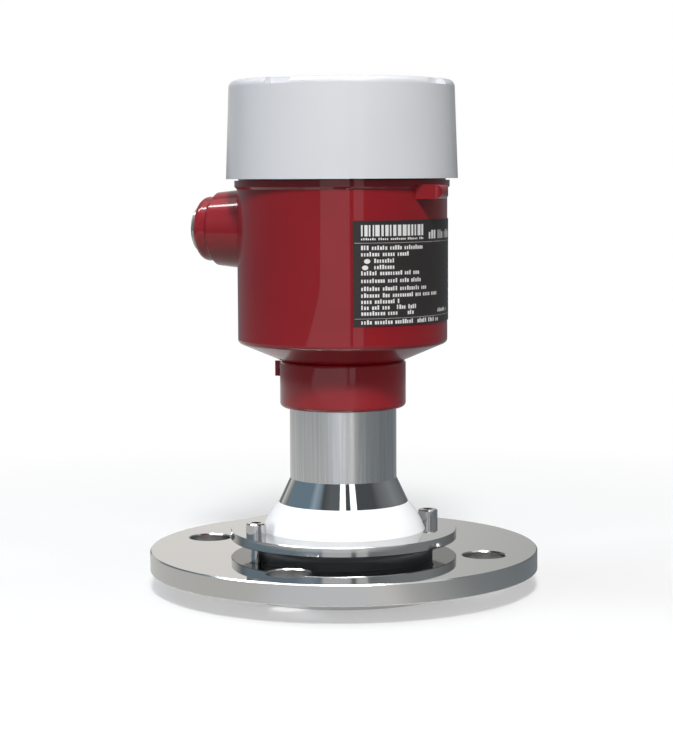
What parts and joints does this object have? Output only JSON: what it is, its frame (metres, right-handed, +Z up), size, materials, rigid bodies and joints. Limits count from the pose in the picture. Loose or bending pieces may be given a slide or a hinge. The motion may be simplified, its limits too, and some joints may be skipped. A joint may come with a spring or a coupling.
{
  "type": "radar level transmitter",
  "caption": "Radar level transmitter on a drilled process flange: swivelling ball antenna, brushed neck, cast housing with a plugged cable entry, and a screwed cover over its electronics.",
  "frame": {"origin": "the centre of the sealing face under the flange, where the part stands", "axes": "+Z up along the flange's axis towards the cover; -X towards the cable entry; +X through the middle of the label"},
  "size_m": [0.165, 0.165, 0.2144],
  "materials": {
    "stainless_steel": "satin",
    "screw_steel": "satin",
    "black_rubber": "matte",
    "white_plastic": "satin",
    "polished_steel": "polished",
    "coated_casting": "satin",
    "plated_brass": "satin",
    "label_foil": "matte",
    "insert_plastic": "matte",
    "module_can": "satin",
    "terminal_plastic": "matte",
    "dial_case_plastic": "matte",
    "dial_plastic": "satin",
    "bare_casting": "satin"
  },
  "bodies": {
    "flange_assembly": {"process_flange": "stainless_steel", "clamp_ring": "stainless_steel", "clamp_screws": "screw_steel"},
    "seal": {"ball_seal": "black_rubber"},
    "swivel": {"swivel_ball": "white_plastic", "antenna_lens": "white_plastic", "lens_ring": "black_rubber", "antenna_horn": "stainless_steel", "horn_nut": "stainless_steel", "neck_cone": "polished_steel", "neck_tube": "stainless_steel", "neck_rings": "black_rubber", "snap_ring": "screw_steel", "stop_pin": "screw_steel", "waveguide": "stainless_steel"},
    "head": {"housing": "coated_casting", "housing_lock_screw": "screw_steel", "earth_screw": "screw_steel", "earth_washer": "screw_steel", "blanking_plug": "plated_brass", "plug_seal": "black_rubber", "type_label": "label_foil", "cover_lock_screw": "screw_steel", "electronics_insert": "insert_plastic", "insert_screws": "screw_steel", "radar_module": "module_can", "terminal_block": "terminal_plastic", "terminal_screws": "screw_steel", "dial_cases": "dial_case_plastic", "inner_earth_clamp": "stainless_steel", "inner_earth_screw": "screw_steel"},
    "cover_seal": {"cover_ring": "black_rubber"},
    "screw_cover": {"cover": "bare_casting"},
    "dial_1": {"address_dial_1": "dial_plastic"},
    "dial_2": {"address_dial_2": "dial_plastic"},
    "dial_3": {"address_dial_3": "dial_plastic"}
  },
  "joints": [
    {"name": "aim_azimuth", "type": "hinge", "parent": "flange_assembly", "child": "seal", "pos_m": [0, 0, 0.012], "axis": [0, 0, 1], "continuous": true},
    {"name": "aim_tilt", "type": "hinge", "parent": "seal", "child": "swivel", "pos_m": [0, 0, 0.012], "axis": [0, 1, 0], "range_deg": [-10, 10]},
    {"name": "housing_turn", "type": "hinge", "parent": "swivel", "child": "head", "pos_m": [0, 0, 0.1], "axis": [0, 0, 1], "range_deg": [-165, 165]},
    {"name": "cover_lift", "type": "slide", "parent": "head", "child": "cover_seal", "axis": [0, 0, 1], "range_m": [0, 0.0481]},
    {"name": "cover_turn", "type": "hinge", "parent": "cover_seal", "child": "screw_cover", "pos_m": [0, 0, 0.19], "axis": [0, 0, 1], "range_deg": [0, 5760]},
    {"name": "dial_turn_1", "type": "hinge", "parent": "head", "child": "dial_1", "pos_m": [0.014, -0.014, 0.181], "axis": [0, 0, 1], "continuous": true},
    {"name": "dial_turn_2", "type": "hinge", "parent": "head", "child": "dial_2", "pos_m": [0.014, 0, 0.181], "axis": [0, 0, 1], "continuous": true},
    {"name": "dial_turn_3", "type": "hinge", "parent": "head", "child": "dial_3", "pos_m": [0.014, 0.014, 0.181], "axis": [0, 0, 1], "continuous": true}
  ],
  "couplings": [
    {"joint": "cover_lift", "follows": "cover_turn", "m_per_rad": 0.00047746}
  ]
}
